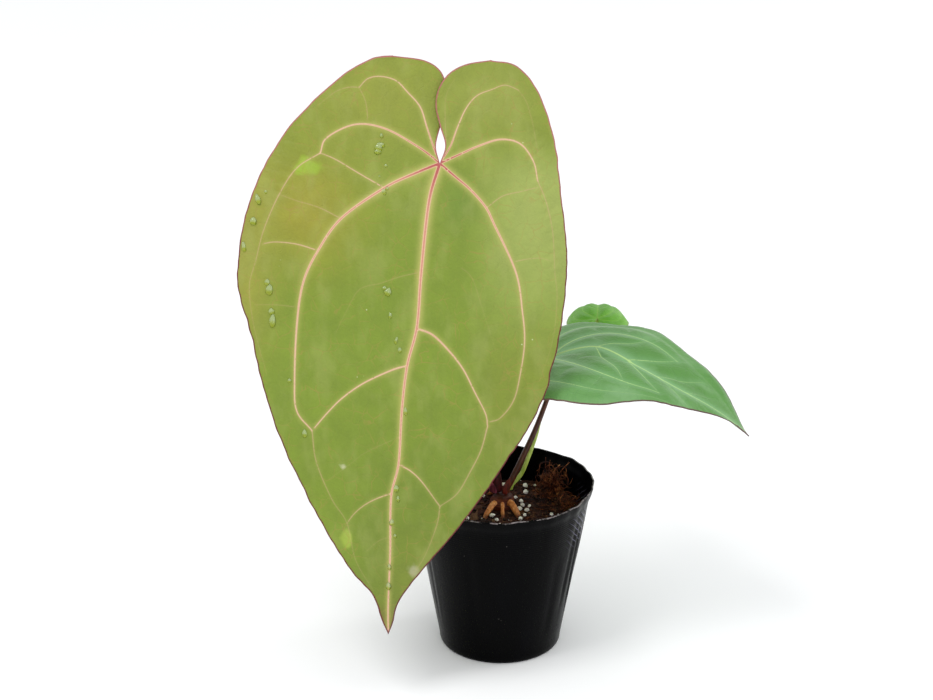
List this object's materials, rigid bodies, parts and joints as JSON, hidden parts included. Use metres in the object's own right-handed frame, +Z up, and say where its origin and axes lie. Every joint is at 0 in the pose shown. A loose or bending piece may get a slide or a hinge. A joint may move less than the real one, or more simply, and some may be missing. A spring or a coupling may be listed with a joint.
{
  "type": "potted anthurium",
  "caption": "Young anthurium with a large hanging heart-shaped leaf, a middling and a small leaf, rooted in a thin black plastic nursery pot.",
  "frame": {"origin": "middle of the pot's flat base, on the ground", "axes": "+Z up; -Y is the front, which the large leaf's upper face looks to; +X is the side that the second leaf points to"},
  "size_m": [0.2414, 0.1607, 0.291],
  "materials": {
    "black_plastic": "glossy thin polyethylene, finely ringed",
    "potting_mix": "dark moist peat and bark mix",
    "crown_stem": "dull red-brown stem",
    "petiole_brown": "smooth dark brown stalk",
    "petiole_green": "smooth yellow-green stalk",
    "blade_olive": "satin olive leaf with pink veins",
    "blade_green": "satin grey-green leaf with pale veins",
    "blade_fresh_green": "satin bright green young leaf",
    "cataphyll_maroon": "dark maroon sheath leaf",
    "cataphyll_purple": "purple sheath leaf",
    "cataphyll_red": "red-brown sheath leaf",
    "aerial_root": "matt tan root",
    "coir": "matt red-brown fibre",
    "perlite": "matt white grain"
  },
  "bodies": {
    "root": {"pot": "black_plastic", "potting_mix": "potting_mix", "crown_stem": "crown_stem", "petiole_large": "petiole_brown", "petiole_second": "petiole_brown", "petiole_small": "petiole_green", "blade_large": "blade_olive", "blade_second": "blade_green", "blade_small": "blade_fresh_green", "cataphyll_dark": "cataphyll_maroon", "cataphyll_purple": "cataphyll_purple", "cataphyll_red": "cataphyll_red", "root_left": "aerial_root", "root_middle": "aerial_root", "root_right": "aerial_root", "root_back_left": "aerial_root", "root_back_right": "aerial_root", "root_surface": "aerial_root", "coir_clump": "coir", "coir_tuft": "coir", "perlite_01": "perlite", "perlite_02": "perlite", "perlite_03": "perlite", "perlite_04": "perlite", "perlite_05": "perlite", "perlite_06": "perlite", "perlite_07": "perlite", "perlite_08": "perlite", "perlite_09": "perlite", "perlite_10": "perlite", "perlite_11": "perlite", "perlite_12": "perlite", "perlite_13": "perlite", "perlite_14": "perlite", "perlite_15": "perlite", "perlite_16": "perlite", "perlite_17": "perlite"}
  },
  "joints": []
}
